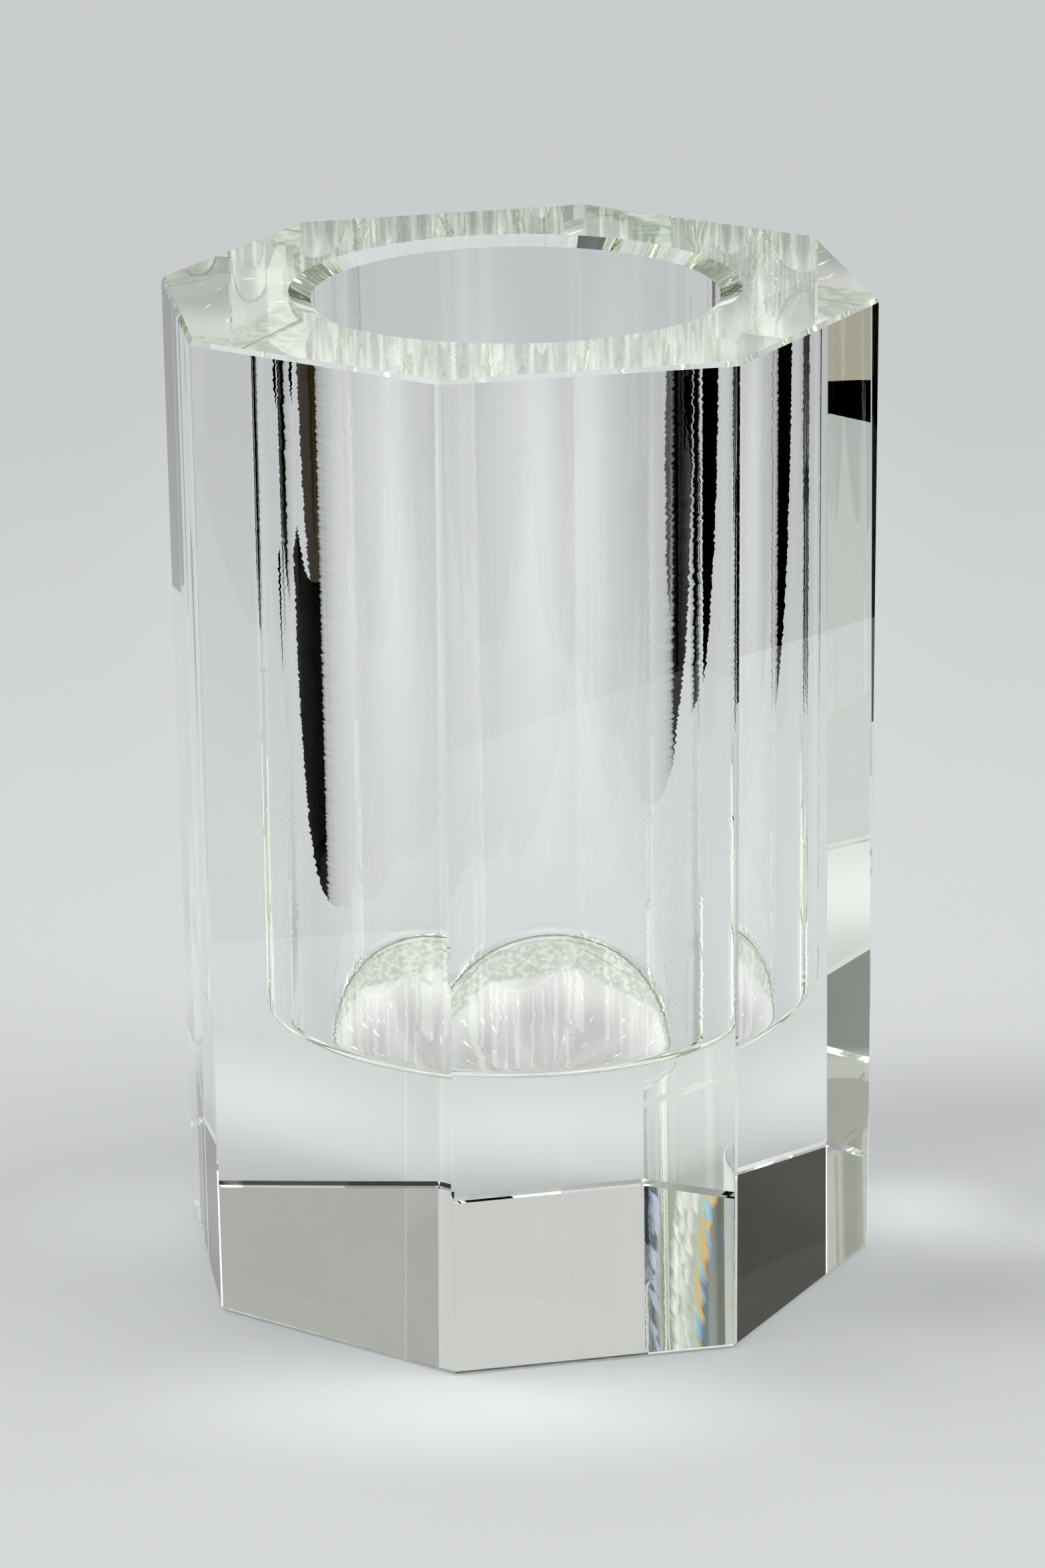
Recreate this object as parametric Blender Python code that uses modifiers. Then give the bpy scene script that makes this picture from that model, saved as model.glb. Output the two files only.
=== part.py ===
"""A glass candlestick: one block of polished optical glass, an eight-sided prism with a blind candle bore.

Units are metres and +Z is up. The origin is on the bore's axis, at the face that the block stands on.
"""

import math

import bmesh
import bpy
from mathutils import Vector

MM = 0.001

# The block
HEIGHT = 150 * MM
ACROSS_FLATS = 100 * MM
FACET_COUNT = 8
RIM_BEVEL = 0.6 * MM  # round the top and the bottom outline
EDGE_BEVEL = 0.25 * MM  # down each upright edge

# The facets are ground one by one, so each stands a little off the true octagon:
# (degrees that it is turned about the axis, distance that it stands out), from +X round towards +Y.
FACET_GRINDING = (
    (-2.0, 0.25 * MM),
    (-1.0, 0.25 * MM),
    (1.0, -0.5 * MM),
    (3.5, 0.0),
    (-2.5, 0.25 * MM),
    (0.0, 0.25 * MM),
    (-0.5, 0.0),
    (1.5, -0.25 * MM),
)

# The bore
BORE_RADIUS = 30 * MM
BORE_DEPTH = 110 * MM
MOUTH_RADIUS = 33.2 * MM  # where the shallow flare of the mouth meets the top face
MOUTH_DEPTH = 1.2 * MM
FLOOR_FILLET = 2 * MM
FILLET_SEGMENTS = 6
BORE_SEGMENTS = 128
CUTTER_CLEARANCE = 1 * MM  # how far the cutter stands above the top face

MERGE_DISTANCE = 0.01 * MM
SHARP_ANGLE = math.radians(20)

GLASS_COLOUR = (0.955, 0.975, 0.96, 1.0)
GLASS_ROUGHNESS = 0.0
GLASS_IOR = 1.52
CUTTER_COLLECTION = "cutters"


def clear_scene():
    for obj in list(bpy.data.objects):
        bpy.data.objects.remove(obj, do_unlink=True)


def new_collection(name):
    collection = bpy.data.collections.new(name)
    bpy.context.scene.collection.children.link(collection)
    return collection


def glass_material():
    material = bpy.data.materials.new("optical_glass")
    material.use_nodes = True
    shader = material.node_tree.nodes["Principled BSDF"]
    shader.inputs["Base Color"].default_value = GLASS_COLOUR
    shader.inputs["Roughness"].default_value = GLASS_ROUGHNESS
    shader.inputs["Metallic"].default_value = 0.0
    shader.inputs["IOR"].default_value = GLASS_IOR
    shader.inputs["Transmission Weight"].default_value = 1.0
    return material


def grind_facet(blank, normal, distance):
    """Cuts away what lies beyond a plane and closes the block with a flat facet."""
    geometry = blank.verts[:] + blank.edges[:] + blank.faces[:]
    cut = bmesh.ops.bisect_plane(
        blank, geom=geometry, dist=MERGE_DISTANCE, plane_co=normal * distance, plane_no=normal, clear_outer=True
    )
    rim = [item for item in cut["geom_cut"] if isinstance(item, bmesh.types.BMEdge)]
    bmesh.ops.contextual_create(blank, geom=rim)


def weight_bevels(blank):
    """The level edges take the whole bevel width, and the upright ones a share of it."""
    weights = blank.edges.layers.float.new("bevel_weight_edge")
    for edge in blank.edges:
        run = edge.verts[1].co - edge.verts[0].co
        upright = abs(run.z) > HEIGHT / 2
        edge[weights] = EDGE_BEVEL / RIM_BEVEL if upright else 1.0


def make_block(collection):
    """A square blank, taller than wide, with the eight facets ground on it."""
    blank = bmesh.new()
    bmesh.ops.create_cube(blank, size=1.0)
    bmesh.ops.scale(blank, vec=(2 * ACROSS_FLATS, 2 * ACROSS_FLATS, HEIGHT), verts=blank.verts)
    bmesh.ops.translate(blank, vec=(0, 0, HEIGHT / 2), verts=blank.verts)
    for number, (turn, stands_out) in enumerate(FACET_GRINDING):
        angle = math.tau * number / FACET_COUNT + math.radians(turn)
        normal = Vector((math.cos(angle), math.sin(angle), 0))
        grind_facet(blank, normal, ACROSS_FLATS / 2 + stands_out)
    bmesh.ops.recalc_face_normals(blank, faces=blank.faces)
    weight_bevels(blank)

    mesh = bpy.data.meshes.new("crystal_block")
    blank.to_mesh(mesh)
    blank.free()
    block = bpy.data.objects.new("crystal_block", mesh)
    collection.objects.link(block)

    bevel = block.modifiers.new("Ground edges", "BEVEL")
    bevel.limit_method = "WEIGHT"
    bevel.offset_type = "OFFSET"
    bevel.width = RIM_BEVEL
    bevel.segments = 1
    return block


def bore_profile():
    """Half of the bore's section, from the axis above the block, down its outer side, to the axis at its floor."""
    flare = (MOUTH_RADIUS - BORE_RADIUS) / MOUTH_DEPTH
    floor = HEIGHT - BORE_DEPTH
    top = HEIGHT + CUTTER_CLEARANCE
    points = [
        (0.0, top),
        (MOUTH_RADIUS + flare * CUTTER_CLEARANCE, top),
        (BORE_RADIUS, HEIGHT - MOUTH_DEPTH),
    ]
    for step in range(FILLET_SEGMENTS + 1):
        angle = math.pi / 2 * step / FILLET_SEGMENTS
        radius = BORE_RADIUS - FLOOR_FILLET * (1 - math.cos(angle))
        height = floor + FLOOR_FILLET * (1 - math.sin(angle))
        points.append((radius, height))
    points.append((0.0, floor))
    return points


def make_bore_cutter(collection):
    """The bore as a solid of revolution."""
    points = [(radius, 0.0, height) for radius, height in bore_profile()]
    edges = [(index, index + 1) for index in range(len(points) - 1)]
    mesh = bpy.data.meshes.new("bore_cutter")
    mesh.from_pydata(points, edges, [])
    cutter = bpy.data.objects.new("bore_cutter", mesh)
    collection.objects.link(cutter)
    cutter.hide_render = True
    cutter.display_type = "WIRE"

    screw = cutter.modifiers.new("Turned", "SCREW")
    screw.axis = "Z"
    screw.angle = math.tau
    screw.steps = BORE_SEGMENTS
    screw.render_steps = BORE_SEGMENTS
    screw.use_merge_vertices = True
    screw.merge_threshold = MERGE_DISTANCE
    return cutter


def bore_block(block, cutter):
    bore = block.modifiers.new("Candle bore", "BOOLEAN")
    bore.operation = "DIFFERENCE"
    bore.solver = "EXACT"
    bore.object = cutter


def realise_and_shade(block):
    """Turns the cut block into a plain mesh: its bore is shaded round, and its facets and bevels stay crisp."""
    graph = bpy.context.evaluated_depsgraph_get()
    finished = bpy.data.meshes.new_from_object(block.evaluated_get(graph))
    block.modifiers.clear()
    block.data = finished
    finished.shade_smooth()
    finished.set_sharp_from_angle(angle=SHARP_ANGLE)


def main():
    clear_scene()
    parts = new_collection("glass_candlestick")
    cutters = new_collection(CUTTER_COLLECTION)
    block = make_block(parts)
    block.data.materials.append(glass_material())
    bore_block(block, make_bore_cutter(cutters))
    realise_and_shade(block)


main()
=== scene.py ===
"""The looks of the glass candlestick: a polished octagonal block on a pale studio sweep."""

import math

import bmesh
import bpy
from mathutils import Matrix, Vector


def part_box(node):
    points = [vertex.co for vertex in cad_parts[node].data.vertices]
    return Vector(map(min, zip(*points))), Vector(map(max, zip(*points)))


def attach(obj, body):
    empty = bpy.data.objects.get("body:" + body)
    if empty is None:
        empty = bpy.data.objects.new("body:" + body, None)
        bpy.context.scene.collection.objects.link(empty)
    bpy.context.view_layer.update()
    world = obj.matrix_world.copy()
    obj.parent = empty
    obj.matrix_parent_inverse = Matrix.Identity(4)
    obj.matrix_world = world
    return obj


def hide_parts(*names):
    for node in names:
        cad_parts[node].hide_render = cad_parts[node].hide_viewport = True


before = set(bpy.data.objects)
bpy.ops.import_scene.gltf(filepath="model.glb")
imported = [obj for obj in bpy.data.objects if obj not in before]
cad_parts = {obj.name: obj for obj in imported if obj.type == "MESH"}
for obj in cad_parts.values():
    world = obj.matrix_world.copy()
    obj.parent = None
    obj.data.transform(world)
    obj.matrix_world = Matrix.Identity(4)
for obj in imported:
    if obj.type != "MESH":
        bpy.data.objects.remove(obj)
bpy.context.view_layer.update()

MM = 0.001
NODE = "crystal_block"

# ---------------------------------------------------------------- camera, as the object is seen
CAMERA_AZIMUTH = math.radians(-11.83)  # seen from a little left of the facet that faces -Y
CAMERA_ELEVATION = math.radians(19.47)
CAMERA_ROLL = math.radians(-0.67)
CAMERA_DISTANCE = 767 * MM
CAMERA_RAISE = -2.06 * MM
CAMERA_ASIDE = 0.2 * MM
CAMERA_LENS = 116.5
CAMERA_SENSOR = 36.0
CAMERA_CLIP = (0.01, 100)

# ---------------------------------------------------------------- the block's finish
BORE_STEPS = 512
RIM_BEVEL = 0.6 * MM
EDGE_BEVEL = 0.25 * MM
BORE_RADIUS = 30 * MM
BORE_DEPTH = 110 * MM
MOUTH_RADIUS = 33.2 * MM
MOUTH_DEPTH = 1.2 * MM
FLOOR_FILLET = 2 * MM
FILLET_STEPS = 10
CUTTER_CLEARANCE = 1 * MM
BLANK_WIDTH = 300 * MM  # the cube that the facets are cut from
MERGE_DISTANCE = 0.005 * MM
SHARP_ANGLE = math.radians(14)
AIR_GAP = 0.15 * MM  # between the polished base and the paper
FLAT_MARGIN = 0.3 * MM  # a band beside the fillet that keeps its soft normals off the wall and the floor
WAVE_WIDTH = 5 * MM
WAVE_STRETCH = 0.02  # the waves run down the wall, 50 times as long as they are wide
WAVE_DETAIL = 3  # octaves of noise
WAVE_TILT = math.radians(0.4)
CHATTER_PITCH = 0.6 * MM
CHATTER_STRETCH = 0.12  # the chatter runs round the wall
CHATTER_DETAIL = 1
CHATTER_TILT = math.radians(1.4)
GLASS_INDEX = 1.52
GLASS_TINT = (0.55, 0.70, 0.38)  # each colour is absorbed by 1 less this, times the density, a metre
GLASS_DENSITY = 1.0

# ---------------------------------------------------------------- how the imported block's facets are found
FACET_MIN_AREA = 0.001  # square metres: anything smaller is a bevel
UPRIGHT_SLOPE = 0.01
SAME_DIRECTION = 0.9999
SAME_DISTANCE = 0.1 * MM

# ---------------------------------------------------------------- the studio
# Azimuths and elevations are in degrees. Azimuth 0 is away from the camera, and positive is to the right.
BLACK_POINT = 0.05
BOUNCES = 48
INDIRECT_CLAMP = 10
ROOM = (0.62, 0.63, 0.64)
WALL = (0.85, 0.86, 0.87)
CAMERA_SIDE = (0.35, 0.35, 0.36)
SOFTBOX = (1.75, 1.77, 1.79)
OVERHEAD = (1.25, 1.25, 1.25)
GAP = (0.0, 0.0, 0.0)  # between the lights
SIDE_PANELS = (  # on both sides alike: azimuths, elevations, softness, light
    ((-1, 400), (-90, 22.5), 1, WALL),
    ((145, 400), (-5, 60), 20, CAMERA_SIDE),
)
PANELS = (  # later ones lie over earlier ones
    ((-114, -58), (8, 62), 12, SOFTBOX),
    ((58, 122), (8, 62), 12, SOFTBOX),
    ((-400, 400), (64, 95), 10, OVERHEAD),
    ((28, 68), (57, 74), 2, GAP),
    ((-30, 36), (4, 14), 3, (0.03, 0.03, 0.035)),
    ((18, 40), (23, 32), 1, (0.45, 0.45, 0.43)),
    ((-12, 12), (23, 32), 1, (0.64, 0.64, 0.63)),
    ((-40, -31), (23, 32), 1, (0.055, 0.050, 0.040)),
    ((142, 152), (20.9, 22.55), 0.3, (0.015, 0.015, 0.01)),
    ((142, 152), (22.55, 32), 0.3, (0.36, 0.36, 0.32)),
    ((-129, -118), (22.6, 32), 1, (0.06, 0.06, 0.055)),
    ((43, 52), (22.6, 32), 1, (0.06, 0.06, 0.055)),
)
CLUTTER_WINDOW = ((-50, -39), (23, 32), 1)
CLUTTER_LEVEL = 24.5  # the elevation at which the uprights stand where their tones say
CLUTTER_LEAN = 1.75
CLUTTER_SHAKE = 0.7
CLUTTER_SHAKE_NOISE = (3.0, 3)  # scale, detail
CLUTTER_WARM_NOISE = (2.2, 1)
CLUTTER_WARM_EDGE = (0.47, 0.53)
CLUTTER_SPAN = (-45.0, -40.0)  # the azimuths from the first tone to the last
CLUTTER_TONES = (
    (0.00, (0.02, 0.04, 0.05)),
    (0.21, (0.03, 0.06, 0.09)),
    (0.25, (0.42, 0.42, 0.36)),
    (0.36, (0.34, 0.35, 0.30)),
    (0.42, (1.10, 1.15, 1.10)),
    (0.47, (0.50, 0.53, 0.48)),
    (0.52, (1.00, 1.02, 0.95)),
    (0.57, (0.55, 0.58, 0.54)),
    (0.61, (0.50, 0.72, 0.62)),
    (0.66, (0.22, 0.45, 0.75)),
    (0.70, (0.06, 0.09, 0.14)),
    (1.00, (0.12, 0.13, 0.11)),
)
CLUTTER_WARM = (
    (0.00, (0.02, 0.03, 0.04)),
    (0.15, (0.05, 0.07, 0.10)),
    (0.21, (0.60, 0.68, 0.95)),
    (0.27, (0.46, 0.47, 0.42)),
    (0.38, (0.30, 0.31, 0.27)),
    (0.45, (0.95, 0.98, 0.92)),
    (0.56, (0.50, 0.52, 0.46)),
    (0.61, (0.62, 0.58, 0.30)),
    (0.66, (0.80, 0.48, 0.14)),
    (0.70, (0.10, 0.08, 0.05)),
    (1.00, (0.10, 0.11, 0.10)),
)
# Painted light: the paper's colour is lighter near the block and darker far off, standing in for light
# falling off away from it.
PAPER_NEAR = (0.75, 0.76, 0.765)
PAPER_FAR = (0.63, 0.64, 0.645)
PAPER_FADE = 0.6  # metres from the block to where the painted falloff reaches the far colour
PAPER_RADIUS = 8  # metres
PAPER_SIDES = 96
PAPER_ROUGHNESS = 0.9
PAPER_SPECULAR = 0.1
PAINTED_LIGHT_POOLS = (  # painted light and shade in the paper's colour, gains over 1 painted glows and under 1 painted shadows: right and away as the camera sees it, half width and half depth in millimetres, gain
    (-6, -60, 66, 30, 1.31),
    (59, 6, 24, 17, 1.30),
    (72, -6, 40, 14, 1.12),
    (-62, 5, 30, 30, 1.12),
    (-5, 75, 50, 30, 1.18),
    (0, 430, 110, 340, 1.14),
    (82, 44, 62, 36, 0.87),
    (70, -28, 36, 28, 0.88),
    (40, -52, 26, 16, 0.94),
    (22, 54, 18, 9, 0.78),
)
PAINTED_GLOW_BEHIND = (-60, 480, 430, 430)  # a painted glow: the paper behind gives off light where it looks brighter through the block, placed as above
PAINTED_GLOW_BEHIND_LIGHT = 0.18
PAINTED_GLOW_BEHIND_PASSES = 4  # surfaces that the light has come through

# ---------------------------------------------------------------- what lies beyond the paper
# Outlines are in millimetres, right and away from the block's axis as the camera sees them.
# The edges that show in the glass were read off traced sight lines and rounded. The outer edges are free.
FLAG_HEIGHT = 0.5 * MM  # above the base, so that no sheet lies in the paper
BLACK = (0.030, 0.0295, 0.029)
GREY = (0.035, 0.035, 0.035)
WOOD = (0.075, 0.067, 0.058)
TABLE = (0.57, 0.54, 0.48)
RIGHT_EDGE = ((395, 330), (364, 262), (337, 190), (320, 130), (309, 80), (297, 40), (274, 3), (215, -165))
FRONT_EDGE = ((160, -340), (-30, -255), (-160, -180), (-195, -60))
LEFT_EDGE = ((-202, 5), (-207, 52), (-214, 90), (-234, 150), (-252, 213), (-268, 240), (-287, 280))
WOOD_EDGE = ((-374, 117), (-384, 82), (-392, 47), (-400, -20))
WOOD_BACK = ((-640, -20), (-660, 340), (-486, 290), (-450, 240), (-422, 200), (-398, 157))
DARK_LEFT = ((-345, 250), (-358, 195), (-363, 157))
DARK_OUTSIDE = ((-640, -20), (-640, -420), (-300, -640), (420, -640), (700, -300), (700, 330), (470, 430))
FAR_LEFT = ((-398, 345), (-380, 400), (-430, 420), (-440, 365))
RIGHT_GAP = ((330, 195), (345, 95), (560, 90), (560, 200), (480, 330), (400, 300))
FRONT_TABLE = ((150, -372), (182, -362), (200, -352), (330, -520), (200, -600))

# ---------------------------------------------------------------- painted light on the paper under the block, a glowing sheet
SIDES = 8
UNDER_MARGIN = 0.3 * MM
UNDER_DIM = (0.55, 0.56, 0.545)
UNDER_LIGHT = (0.68, 0.69, 0.675)
UNDER_SPARK = (1.55, 1.55, 1.52)
UNDER_OUTER = (1.5, 1.5, 1.5)
UNDER_RIM = (0.80, 0.87, 0.76)
UNDER_RIM_DARK = (0.58, 0.65, 0.56)
UNDER_RIM_START = (41.8 * MM, 43.4 * MM)  # from the axis, square to the nearest side
UNDER_RIM_NOISE = (420, 2)  # scale, detail
UNDER_RIM_PATCHES = (0.42, 0.62)
UNDER_OUTER_START = (24 * MM, 40 * MM)  # from the axis
UNDER_SPARK_START = (10 * MM, 25 * MM)
UNDER_SPARK_NOISE = (20, 1)
UNDER_SPARK_EDGE = (0.68, 0.76)
UNDER_RAY_NOISE = (2.5, 1)
UNDER_RAY_EDGE = (0.35, 0.70)
UNDER_RAY_SPREAD = 8  # how fast the rays change with the distance from the axis


class Nodes:
    """Short ways to build a node tree."""

    def __init__(self, tree):
        self.tree = tree

    def node(self, kind):
        return self.tree.nodes.new(kind)

    def put(self, socket, value):
        if isinstance(value, bpy.types.NodeSocket):
            self.tree.links.new(value, socket)
        elif socket.type == "RGBA":
            socket.default_value = (*value, 1)
        else:
            socket.default_value = value

    def math(self, operation, *values):
        node = self.node("ShaderNodeMath")
        node.operation = operation
        for socket, value in zip(node.inputs, values):
            self.put(socket, value)
        return node.outputs[0]

    def dot(self, vector, axis):
        node = self.node("ShaderNodeVectorMath")
        node.operation = "DOT_PRODUCT"
        self.put(node.inputs[0], vector)
        node.inputs[1].default_value = axis
        return node.outputs["Value"]

    def length(self, x, y):
        return self.math("SQRT", self.math("ADD", self.math("MULTIPLY", x, x), self.math("MULTIPLY", y, y)))

    def split(self, vector):
        node = self.node("ShaderNodeSeparateXYZ")
        self.put(node.inputs[0], vector)
        return node.outputs["X"], node.outputs["Y"], node.outputs["Z"]

    def join(self, x, y, z):
        node = self.node("ShaderNodeCombineXYZ")
        for socket, value in zip(node.inputs, (x, y, z)):
            self.put(socket, value)
        return node.outputs[0]

    def noise(self, vector, scale, detail):
        node = self.node("ShaderNodeTexNoise")
        self.put(node.inputs["Vector"], vector)
        node.inputs["Scale"].default_value = scale
        node.inputs["Detail"].default_value = detail
        return node.outputs["Fac"]

    def colour(self, rgb):
        node = self.node("ShaderNodeRGB")
        node.outputs[0].default_value = (*rgb, 1)
        return node.outputs[0]

    def mix(self, factor, first, second):
        node = self.node("ShaderNodeMix")
        node.data_type = "RGBA"
        self.put(node.inputs["Factor"], factor)
        self.put(node.inputs["A"], first)
        self.put(node.inputs["B"], second)
        return node.outputs["Result"]

    def product(self, first, second):
        node = self.node("ShaderNodeVectorMath")
        node.operation = "MULTIPLY"
        self.put(node.inputs[0], first)
        self.put(node.inputs[1], second)
        return node.outputs[0]

    def ramp(self, value, stops):
        node = self.node("ShaderNodeValToRGB")
        self.put(node.inputs[0], value)
        elements = node.color_ramp.elements
        elements.remove(elements[1])
        for number, (position, rgb) in enumerate(stops):
            element = elements.new(position) if number else elements[0]
            element.position = position
            element.color = (*rgb, 1)
        return node.outputs["Color"]

    def rise(self, value, start, end):
        node = self.node("ShaderNodeMapRange")
        node.interpolation_type = "SMOOTHSTEP"
        self.put(node.inputs["Value"], value)
        node.inputs["From Min"].default_value = start
        node.inputs["From Max"].default_value = end
        return node.outputs["Result"]

    def window(self, value, low, high, soft):
        up = self.rise(value, low - soft / 2, low + soft / 2)
        down = self.rise(value, high + soft / 2, high - soft / 2)
        return self.math("MULTIPLY", up, down)


def facet_planes(node):
    """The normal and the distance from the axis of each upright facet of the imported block."""
    found = []
    for polygon in node.data.polygons:
        if abs(polygon.normal.z) > UPRIGHT_SLOPE:
            continue
        distance = polygon.normal.dot(polygon.center)
        for entry in found:
            same_way = entry[0].dot(polygon.normal) > SAME_DIRECTION
            if same_way and abs(entry[1] - distance) < SAME_DISTANCE:
                entry[2] += polygon.area
                break
        else:
            found.append([polygon.normal.copy(), distance, polygon.area])
    return [(normal, distance) for normal, distance, area in found if area > FACET_MIN_AREA]


def grind_facet(blank, normal, distance):
    """Cuts away what stands out past a facet and closes the cut."""
    geometry = blank.verts[:] + blank.edges[:] + blank.faces[:]
    cut = bmesh.ops.bisect_plane(
        blank,
        geom=geometry,
        dist=MERGE_DISTANCE,
        plane_co=normal * distance,
        plane_no=normal,
        clear_outer=True,
    )
    rim = [item for item in cut["geom_cut"] if isinstance(item, bmesh.types.BMEdge)]
    bmesh.ops.contextual_create(blank, geom=rim)


def make_block(height):
    """The prism with its facets and a live bevel, and no bore yet."""
    blank = bmesh.new()
    bmesh.ops.create_cube(blank, size=1.0)
    bmesh.ops.scale(blank, vec=(BLANK_WIDTH, BLANK_WIDTH, height), verts=blank.verts)
    bmesh.ops.translate(blank, vec=(0, 0, height / 2), verts=blank.verts)
    for normal, distance in facet_planes(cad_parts[NODE]):
        grind_facet(blank, normal, distance)
    bmesh.ops.recalc_face_normals(blank, faces=blank.faces)
    weights = blank.edges.layers.float.new("bevel_weight_edge")
    for edge in blank.edges:
        upright = abs(edge.verts[1].co.z - edge.verts[0].co.z) > height / 2
        edge[weights] = EDGE_BEVEL / RIM_BEVEL if upright else 1.0
    mesh = bpy.data.meshes.new("polished_block")
    blank.to_mesh(mesh)
    blank.free()
    block = bpy.data.objects.new("polished_block", mesh)
    bpy.context.scene.collection.objects.link(block)
    bevel = block.modifiers.new("Ground edges", "BEVEL")
    bevel.limit_method = "WEIGHT"
    bevel.width = RIM_BEVEL
    bevel.segments = 1
    return block


def bore_profile(height):
    """Half of the bore's section, from the axis above the block, down its wall, to the axis at its floor."""
    flare = (MOUTH_RADIUS - BORE_RADIUS) / MOUTH_DEPTH
    floor = height - BORE_DEPTH
    top = height + CUTTER_CLEARANCE
    points = [(0.0, top), (MOUTH_RADIUS + flare * CUTTER_CLEARANCE, top), (BORE_RADIUS, height - MOUTH_DEPTH)]
    points.append((BORE_RADIUS, floor + FLOOR_FILLET + FLAT_MARGIN))
    for step in range(FILLET_STEPS + 1):
        angle = math.pi / 2 * step / FILLET_STEPS
        inward = FLOOR_FILLET * (1 - math.cos(angle))
        down = FLOOR_FILLET * (1 - math.sin(angle))
        points.append((BORE_RADIUS - inward, floor + down))
    points.append((BORE_RADIUS - FLOOR_FILLET - FLAT_MARGIN, floor))
    points.append((0.0, floor))
    return points


def make_cutter(height):
    """The bore as a solid, turned from its section."""
    points = [(radius, 0.0, z) for radius, z in bore_profile(height)]
    edges = [(i, i + 1) for i in range(len(points) - 1)]
    mesh = bpy.data.meshes.new("bore_cutter")
    mesh.from_pydata(points, edges, [])
    cutter = bpy.data.objects.new("bore_cutter", mesh)
    bpy.context.scene.collection.objects.link(cutter)
    screw = cutter.modifiers.new("Turned", "SCREW")
    screw.steps = screw.render_steps = BORE_STEPS
    screw.use_merge_vertices = True
    screw.merge_threshold = MERGE_DISTANCE
    return cutter


def glass_material(height):
    """Clear crystal: smooth, a little green in depth, with its bore polished by hand."""
    material = bpy.data.materials.new("optical_crystal")
    material.use_nodes = True
    kit = Nodes(material.node_tree)
    shader = kit.tree.nodes["Principled BSDF"]
    shader.inputs["Base Color"].default_value = (1, 1, 1, 1)
    shader.inputs["Roughness"].default_value = 0.0
    shader.inputs["IOR"].default_value = GLASS_INDEX
    shader.inputs["Transmission Weight"].default_value = 1.0
    kit.put(shader.inputs["Normal"], polishing_marks(kit, height))
    volume = kit.node("ShaderNodeVolumeAbsorption")
    volume.inputs["Color"].default_value = (*GLASS_TINT, 1)
    volume.inputs["Density"].default_value = GLASS_DENSITY
    kit.put(kit.tree.nodes["Material Output"].inputs["Volume"], volume.outputs[0])
    return material


def polishing_marks(kit, height):
    """The normal with the polisher's marks on the bore's wall: waves down it and fine chatter round it."""
    place = kit.node("ShaderNodeTexCoord").outputs["Object"]
    x, y, z = kit.split(place)
    radius = kit.length(x, y)
    turn = kit.math("ARCTAN2", y, x)
    around = kit.math("MULTIPLY", turn, BORE_RADIUS)
    down_wall = kit.join(around, kit.math("MULTIPLY", z, WAVE_STRETCH), 0)
    waves = kit.noise(down_wall, 1 / WAVE_WIDTH, WAVE_DETAIL)
    round_wall = kit.join(kit.math("MULTIPLY", around, CHATTER_STRETCH), z, 0)
    chatter = kit.noise(round_wall, 1 / CHATTER_PITCH, CHATTER_DETAIL)
    tilt = kit.math("ADD", swing(kit, waves, WAVE_TILT), swing(kit, chatter, CHATTER_TILT))
    in_bore = kit.math("LESS_THAN", radius, BORE_RADIUS + EDGE_BEVEL)
    above_fillet = kit.math("GREATER_THAN", z, height - BORE_DEPTH + FLOOR_FILLET)
    tilt = kit.math("MULTIPLY", tilt, kit.math("MULTIPLY", in_bore, above_fillet))
    sideways = kit.join(
        kit.math("MULTIPLY", kit.math("SINE", turn), kit.math("MULTIPLY", tilt, -1)),
        kit.math("MULTIPLY", kit.math("COSINE", turn), tilt),
        0,
    )
    tilted = kit.node("ShaderNodeVectorMath")
    tilted.operation = "ADD"
    kit.put(tilted.inputs[0], kit.node("ShaderNodeNewGeometry").outputs["Normal"])
    kit.put(tilted.inputs[1], sideways)
    unit = kit.node("ShaderNodeVectorMath")
    unit.operation = "NORMALIZE"
    kit.put(unit.inputs[0], tilted.outputs[0])
    return unit.outputs[0]


def swing(kit, noise, angle):
    """A noise of 0 to 1 turned into a tilt to both sides."""
    return kit.math("MULTIPLY", kit.math("SUBTRACT", noise, 0.5), 2 * angle)


def make_polished_block():
    """The block as it is seen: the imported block's facets with a finer bore."""
    low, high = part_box(NODE)
    height = high.z - low.z
    block = make_block(height)
    cutter = make_cutter(height)
    bore = block.modifiers.new("Bore", "BOOLEAN")
    bore.operation = "DIFFERENCE"
    bore.object = cutter
    graph = bpy.context.evaluated_depsgraph_get()
    mesh = bpy.data.meshes.new_from_object(block.evaluated_get(graph))
    block.modifiers.clear()
    block.data = mesh
    bpy.data.objects.remove(cutter)
    mesh.shade_smooth()
    mesh.set_sharp_from_angle(angle=SHARP_ANGLE)
    mesh.materials.clear()
    mesh.materials.append(glass_material(height))
    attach(block, "root")
    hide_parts(NODE)
    return block


def make_camera():
    """A camera that looks at the block's middle, from the azimuth, elevation and distance given above."""
    back = Vector(
        (
            math.sin(CAMERA_AZIMUTH) * math.cos(CAMERA_ELEVATION),
            -math.cos(CAMERA_AZIMUTH) * math.cos(CAMERA_ELEVATION),
            math.sin(CAMERA_ELEVATION),
        )
    )
    level = Vector((math.cos(CAMERA_AZIMUTH), math.sin(CAMERA_AZIMUTH), 0))
    upward = back.cross(level)
    low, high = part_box(NODE)
    centre = Vector((0, 0, (low.z + high.z) / 2))
    camera = bpy.data.objects.new("camera", bpy.data.cameras.new("camera"))
    bpy.context.scene.collection.objects.link(camera)
    camera.data.lens = CAMERA_LENS
    camera.data.sensor_width = CAMERA_SENSOR
    camera.data.clip_start, camera.data.clip_end = CAMERA_CLIP
    right = math.cos(CAMERA_ROLL) * level + math.sin(CAMERA_ROLL) * upward
    top = math.cos(CAMERA_ROLL) * upward - math.sin(CAMERA_ROLL) * level
    camera.matrix_world = Matrix(
        (
            (right.x, top.x, back.x, 0),
            (right.y, top.y, back.y, 0),
            (right.z, top.z, back.z, 0),
            (0, 0, 0, 1),
        )
    )
    camera.location = centre + back * CAMERA_DISTANCE + level * CAMERA_ASIDE + upward * CAMERA_RAISE
    bpy.context.scene.camera = camera


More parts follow.
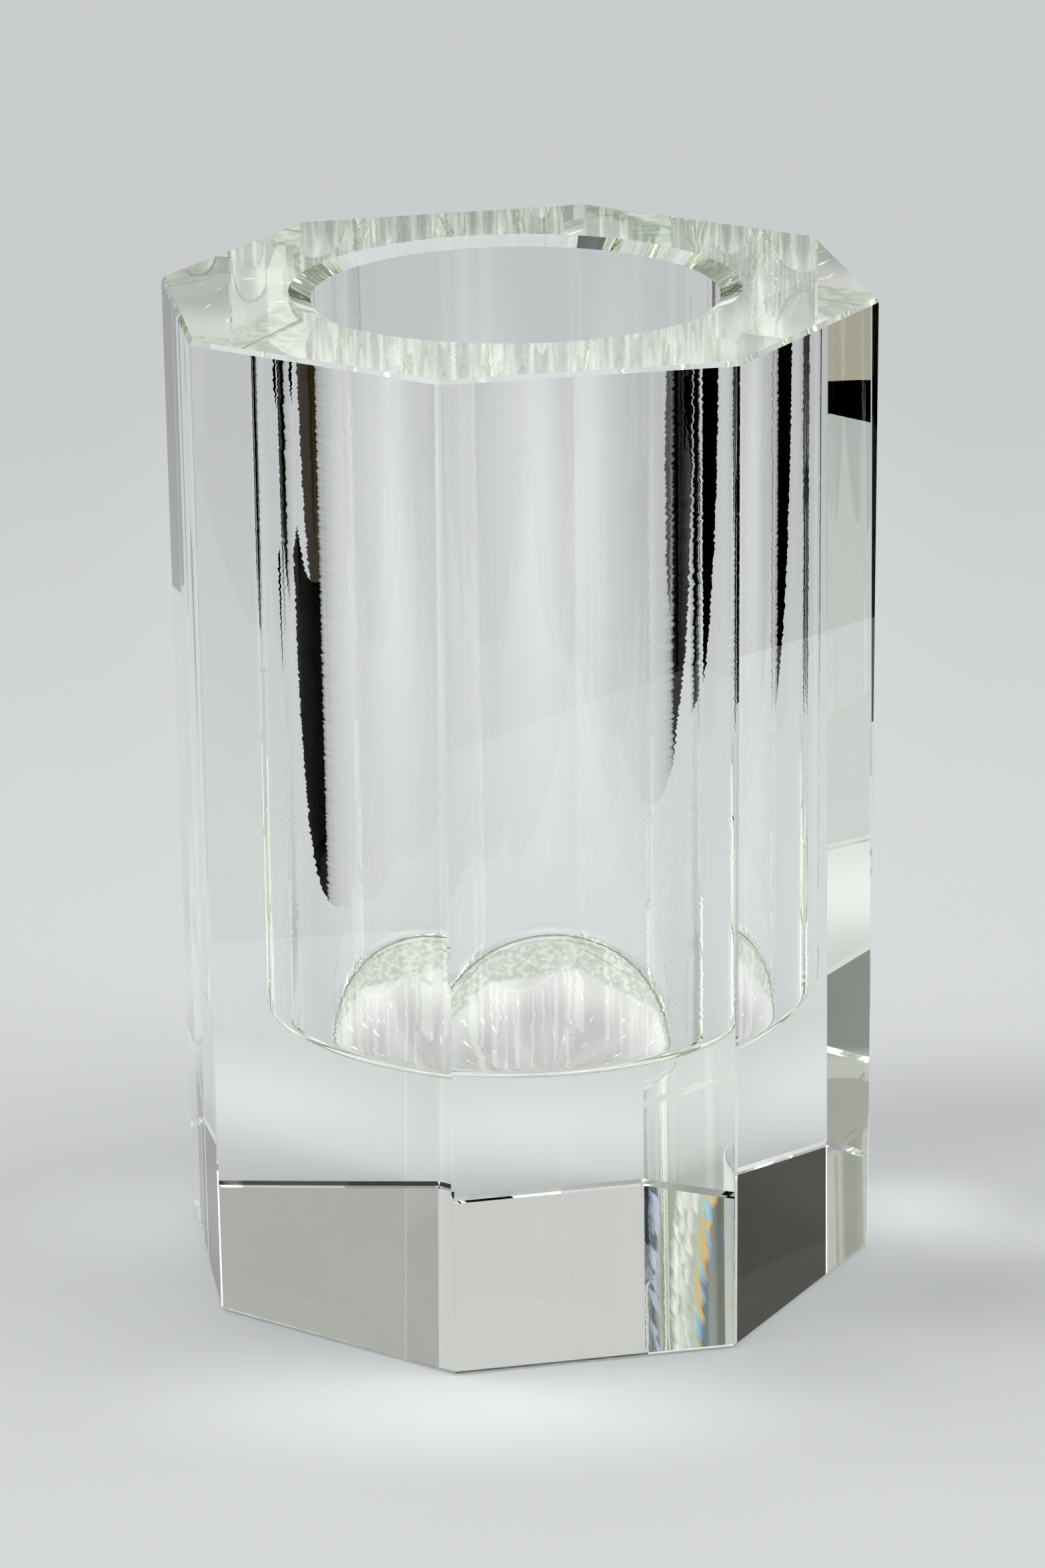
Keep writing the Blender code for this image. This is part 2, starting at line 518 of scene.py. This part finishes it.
def spot(kit, across, beyond, wide, deep):
    """A soft ellipse on the paper: 1 in its middle, 0 at its edge."""
    place = kit.node("ShaderNodeTexCoord").outputs["Object"]
    right = kit.dot(place, (*turned(1, 0), 0))
    away = kit.dot(place, (*turned(0, 1), 0))
    x = kit.math("DIVIDE", kit.math("SUBTRACT", right, across * MM), wide * MM)
    y = kit.math("DIVIDE", kit.math("SUBTRACT", away, beyond * MM), deep * MM)
    return kit.rise(kit.length(x, y), 1.0, 0.0)


def painted_light_pools(kit, paper):
    """The paper with painted light and shade: the glow that the block would throw on it and the shade beside
    it, painted into its colour as soft ellipses.
    """
    for across, beyond, wide, deep, gain in PAINTED_LIGHT_POOLS:
        share = spot(kit, across, beyond, wide, deep)
        paper = kit.product(paper, kit.mix(share, (1, 1, 1), (gain, gain, gain)))
    return paper


def painted_glow_behind(kit):
    """A painted glow given off by the paper behind, only for light that came through both walls of the block.
    """
    path = kit.node("ShaderNodeLightPath")
    through = kit.math("GREATER_THAN", path.outputs["Transmission Depth"], PAINTED_GLOW_BEHIND_PASSES - 0.5)
    return kit.math("MULTIPLY", kit.math("MULTIPLY", spot(kit, *PAINTED_GLOW_BEHIND), through), PAINTED_GLOW_BEHIND_LIGHT)


def make_floor():
    """The paper that the block stands on, as wide as the studio, its colour carrying painted light and shade.
    """
    bpy.ops.mesh.primitive_circle_add(
        vertices=PAPER_SIDES, radius=PAPER_RADIUS, fill_type="NGON", location=(0, 0, -AIR_GAP)
    )
    floor = bpy.context.object
    floor.name = "studio_floor"
    material = bpy.data.materials.new("paper_sweep")
    material.use_nodes = True
    kit = Nodes(material.node_tree)
    shader = kit.tree.nodes["Principled BSDF"]
    x, y, _ = kit.split(kit.node("ShaderNodeTexCoord").outputs["Object"])
    # painted light: the paper's colour runs from lighter near the block to darker far off
    painted_falloff = kit.rise(kit.length(x, y), 0.0, PAPER_FADE)
    kit.put(shader.inputs["Base Color"], painted_light_pools(kit, kit.mix(painted_falloff, PAPER_NEAR, PAPER_FAR)))
    shader.inputs["Roughness"].default_value = PAPER_ROUGHNESS
    shader.inputs["Specular IOR Level"].default_value = PAPER_SPECULAR
    # painted glow: the paper gives off light where it is seen through the block
    shader.inputs["Emission Color"].default_value = (1, 1, 1, 1)
    kit.put(shader.inputs["Emission Strength"], painted_glow_behind(kit))
    material.cycles.emission_sampling = "NONE"
    floor.data.materials.append(material)


def turned(x, y):
    """A direction or place given as the camera sees it, right and away, in the row frame."""
    a = CAMERA_AZIMUTH
    return (x * math.cos(a) - y * math.sin(a), x * math.sin(a) + y * math.cos(a))


def flag_material(name, colour, turns, passes):
    """Paper met only by light with at least so many turns off a face and passes through one."""
    material = bpy.data.materials.new(name)
    material.use_nodes = True
    kit = Nodes(material.node_tree)
    kit.tree.nodes.remove(kit.tree.nodes["Principled BSDF"])
    glow = kit.node("ShaderNodeEmission")
    kit.put(glow.inputs["Color"], colour)
    clear = kit.node("ShaderNodeBsdfTransparent")
    path = kit.node("ShaderNodeLightPath")
    turned_enough = kit.math("GREATER_THAN", path.outputs["Glossy Depth"], turns - 0.5)
    passed_enough = kit.math("GREATER_THAN", path.outputs["Transmission Depth"], passes - 0.5)
    mix = kit.node("ShaderNodeMixShader")
    kit.put(mix.inputs[0], kit.math("MULTIPLY", turned_enough, passed_enough))
    kit.put(mix.inputs[1], clear.outputs[0])
    kit.put(mix.inputs[2], glow.outputs[0])
    kit.put(kit.tree.nodes["Material Output"].inputs["Surface"], mix.outputs[0])
    return material


def make_flag(name, colour, height, outline, turns=1, passes=0):
    """A sheet just above the floor that shows only in the glass."""
    points = [(*turned(x * MM, y * MM), height) for x, y in outline]
    mesh = bpy.data.meshes.new(name)
    mesh.from_pydata(points, [], [tuple(range(len(points)))])
    flag = bpy.data.objects.new(name, mesh)
    bpy.context.scene.collection.objects.link(flag)
    mesh.materials.append(flag_material(name, colour, turns, passes))
    flag.visible_camera = False
    flag.visible_diffuse = False
    flag.visible_shadow = False


class Studio(Nodes):
    """The world's shader: light by direction, as panels laid over a plain grey room."""

    def __init__(self, tree, room):
        super().__init__(tree)
        direction = self.node("ShaderNodeTexCoord").outputs["Generated"]
        right = self.dot(direction, (*turned(1, 0), 0))
        away = self.dot(direction, (*turned(0, 1), 0))
        height = self.dot(direction, (0, 0, 1))
        self.azimuth = self.math("DEGREES", self.math("ARCTAN2", right, away))
        self.side = self.math("ABSOLUTE", self.azimuth)
        self.elevation = self.math("DEGREES", self.math("ARCSINE", height))
        self.light = self.colour(room)

    def panel(self, turn, azimuths, elevations, soft, light):
        """Lays a light over the others in a window of directions; turn is self.azimuth or self.side."""
        across = self.window(turn, *azimuths, soft)
        upright = self.window(self.elevation, *elevations, soft)
        self.light = self.mix(self.math("MULTIPLY", across, upright), self.light, light)


def clutter(studio):
    """The far corner of the room, out of focus: pale and dark uprights with a little colour."""
    place = studio.join(studio.azimuth, studio.elevation, 0)
    lean = studio.math("MULTIPLY", studio.math("SUBTRACT", studio.elevation, CLUTTER_LEVEL), CLUTTER_LEAN)
    shake = swing(studio, studio.noise(place, *CLUTTER_SHAKE_NOISE), CLUTTER_SHAKE / 2)
    across = studio.math("ADD", studio.math("ADD", studio.azimuth, lean), shake)
    start, end = CLUTTER_SPAN
    step = studio.math("DIVIDE", studio.math("SUBTRACT", across, start), end - start)
    tone = studio.ramp(step, CLUTTER_TONES)
    warm = studio.ramp(step, CLUTTER_WARM)
    share = studio.rise(studio.noise(place, *CLUTTER_WARM_NOISE), *CLUTTER_WARM_EDGE)
    return studio.mix(share, tone, warm)


def make_world():
    """The room and its lights, all in the world's shader."""
    world = bpy.data.worlds.new("studio")
    bpy.context.scene.world = world
    world.use_nodes = True
    studio = Studio(world.node_tree, ROOM)
    for panel in SIDE_PANELS:
        studio.panel(studio.side, *panel)
    for panel in PANELS:
        studio.panel(studio.azimuth, *panel)
    studio.panel(studio.azimuth, *CLUTTER_WINDOW, clutter(studio))
    background = world.node_tree.nodes["Background"]
    world.node_tree.links.new(studio.light, background.inputs["Color"])


def painted_light_under_block(kit):
    """Painted light gathered under the block, made up rather than traced: rays and sparks from the middle,
    lighter and darker patches of light at the rim.
    """
    place = kit.node("ShaderNodeTexCoord").outputs["Object"]
    x, y, _ = kit.split(place)
    radius = kit.length(x, y)
    turn = kit.math("ARCTAN2", y, x)
    off_facet = kit.math("PINGPONG", kit.math("ADD", turn, math.pi), math.pi / SIDES)
    depth = kit.math("MULTIPLY", radius, kit.math("COSINE", off_facet))
    spread = kit.math("MULTIPLY", radius, UNDER_RAY_SPREAD)
    spokes = kit.join(kit.math("COSINE", turn), kit.math("SINE", turn), spread)
    rays = kit.rise(kit.noise(spokes, *UNDER_RAY_NOISE), *UNDER_RAY_EDGE)
    pool = kit.mix(rays, UNDER_DIM, UNDER_LIGHT)
    pool = kit.product(pool, kit.mix(kit.rise(radius, *UNDER_OUTER_START), (1, 1, 1), UNDER_OUTER))
    sparks = kit.rise(kit.noise(spokes, *UNDER_SPARK_NOISE), *UNDER_SPARK_EDGE)
    sparks = kit.math("MULTIPLY", sparks, kit.rise(radius, *UNDER_SPARK_START))
    pool = kit.mix(sparks, pool, UNDER_SPARK)
    # painted light at the rim: lighter and darker patches of a greenish glow
    rim_patches = kit.rise(kit.noise(place, *UNDER_RIM_NOISE), *UNDER_RIM_PATCHES)
    rim = kit.mix(rim_patches, UNDER_RIM_DARK, UNDER_RIM)
    return kit.mix(kit.rise(depth, *UNDER_RIM_START), pool, rim)


def make_painted_light_under_block():
    """A sheet of painted light between the block and the floor, glowing though it is no lamp, seen only in
    the glass.
    """
    mesh = bpy.data.meshes.new("painted_light_sheet")
    sides = bmesh.new()
    low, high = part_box(NODE)
    reach = ((high.y - low.y) / 2 + UNDER_MARGIN) / math.cos(math.pi / SIDES)
    bmesh.ops.create_circle(sides, cap_ends=True, segments=SIDES, radius=reach)
    bmesh.ops.rotate(sides, verts=sides.verts, matrix=Matrix.Rotation(math.pi / SIDES, 3, "Z"))
    sides.to_mesh(mesh)
    sides.free()
    glow = bpy.data.objects.new("painted_light_sheet", mesh)
    glow.location.z = -AIR_GAP / 2
    bpy.context.scene.collection.objects.link(glow)
    material = bpy.data.materials.new("painted_light_sheet")
    material.use_nodes = True
    kit = Nodes(material.node_tree)
    kit.tree.nodes.remove(kit.tree.nodes["Principled BSDF"])
    emitter = kit.node("ShaderNodeEmission")
    kit.put(emitter.inputs["Color"], painted_light_under_block(kit))
    kit.put(kit.tree.nodes["Material Output"].inputs["Surface"], emitter.outputs[0])
    mesh.materials.append(material)
    glow.visible_camera = False
    glow.visible_diffuse = False
    glow.visible_shadow = False


def make_surround():
    """The dark room, the table and the wood beyond the paper, met only by light from inside the glass.

    All but right_gap need light that has been turned there. right_gap needs light let through four times.
    """
    dark = RIGHT_EDGE + FRONT_EDGE + LEFT_EDGE + DARK_LEFT + WOOD_EDGE + DARK_OUTSIDE
    make_flag("dark_surround", BLACK, FLAG_HEIGHT, dark)
    make_flag("left_wood", WOOD, FLAG_HEIGHT, WOOD_BACK + WOOD_EDGE)
    make_flag("far_left", BLACK, FLAG_HEIGHT, FAR_LEFT)
    make_flag("right_gap", GREY, 3 * FLAG_HEIGHT, RIGHT_GAP, turns=0, passes=4)
    make_flag("front_table", TABLE, 2 * FLAG_HEIGHT, FRONT_TABLE, passes=1)


make_polished_block()
make_camera()
make_floor()
make_painted_light_under_block()
make_surround()
make_world()

scene = bpy.context.scene
scene.view_settings.view_transform = "Standard"
scene.view_settings.use_curve_mapping = True
scene.view_settings.curve_mapping.black_level = (BLACK_POINT, BLACK_POINT, BLACK_POINT)
scene.cycles.max_bounces = BOUNCES
scene.cycles.transmission_bounces = BOUNCES
scene.cycles.glossy_bounces = BOUNCES
scene.cycles.sample_clamp_indirect = INDIRECT_CLAMP
